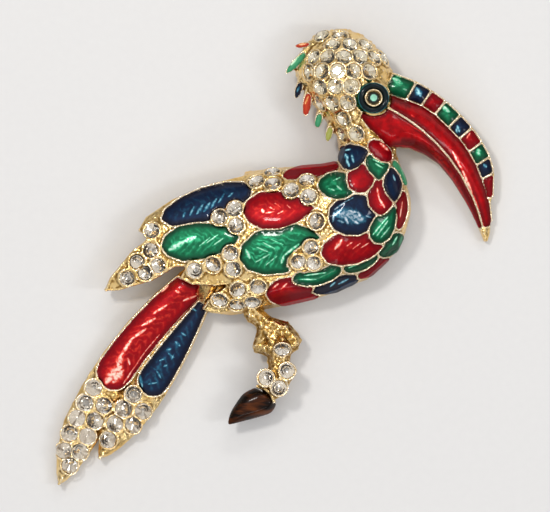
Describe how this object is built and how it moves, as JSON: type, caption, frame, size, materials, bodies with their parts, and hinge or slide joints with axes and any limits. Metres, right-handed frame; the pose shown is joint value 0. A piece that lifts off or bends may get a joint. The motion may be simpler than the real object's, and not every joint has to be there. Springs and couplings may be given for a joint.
{
  "type": "figural animal brooch",
  "caption": "Long-billed bird brooch: hollow-backed gold-toned casting with red, green and blue enamel feathers, clear set stones and a plain pin bar on its back.",
  "frame": {"origin": "centre of the bottom of the bounding box, on the surface that the brooch lies on", "axes": "+X from the tail towards the beak, +Y from the foot towards the crown of the head, +Z away from the surface, out of the front of the brooch"},
  "size_m": [0.0748, 0.0778, 0.0126],
  "materials": {
    "gold": "polished",
    "enamel_red": "glossy",
    "enamel_green": "glossy",
    "enamel_blue": "glossy",
    "enamel_dark": "glossy",
    "enamel_orange": "glossy",
    "enamel_pale": "glossy",
    "brown_enamel": "glossy",
    "rhinestone": "polished",
    "green_stone": "polished"
  },
  "bodies": {
    "root": {"gold_casting": "gold", "pin_finding": "gold", "neck_blue": "enamel_blue", "neck_green": "enamel_green", "throat_red": "enamel_red", "breast_red": "enamel_red", "breast_blue": "enamel_blue", "breast_edge_green": "enamel_green", "chest_red": "enamel_red", "chest_green": "enamel_green", "edge_red": "enamel_red", "shoulder_green": "enamel_green", "shoulder_blue": "enamel_blue", "covert_red": "enamel_red", "wing_red": "enamel_red", "belly_edge_green": "enamel_green", "belly_green": "enamel_green", "belly_red": "enamel_red", "wing_leaf_green": "enamel_green", "under_green": "enamel_green", "under_blue": "enamel_blue", "under_red": "enamel_red", "back_red": "enamel_red", "wing_green": "enamel_green", "wing_blue": "enamel_blue", "beak_lower_red": "enamel_red", "beak_upper_red": "enamel_red", "casque_green_1": "enamel_green", "casque_blue_1": "enamel_blue", "casque_red_1": "enamel_red", "casque_green_2": "enamel_green", "casque_blue_2": "enamel_blue", "casque_red_2": "enamel_red", "casque_green_3": "enamel_green", "casque_blue_3": "enamel_blue", "casque_red_3": "enamel_red", "tail_red": "enamel_red", "tail_blue": "enamel_blue", "crest_orange": "enamel_orange", "crest_green": "enamel_green", "crest_blue": "enamel_blue", "crest_red": "enamel_red", "crest_leaf": "enamel_green", "crest_pale": "enamel_pale", "eye_ring": "enamel_dark", "eye_bezel": "gold", "eye_stone": "green_stone", "claw": "brown_enamel", "head_stones": "rhinestone", "wing_stones": "rhinestone", "tail_stones": "rhinestone", "leg_stones": "rhinestone"}
  },
  "joints": []
}
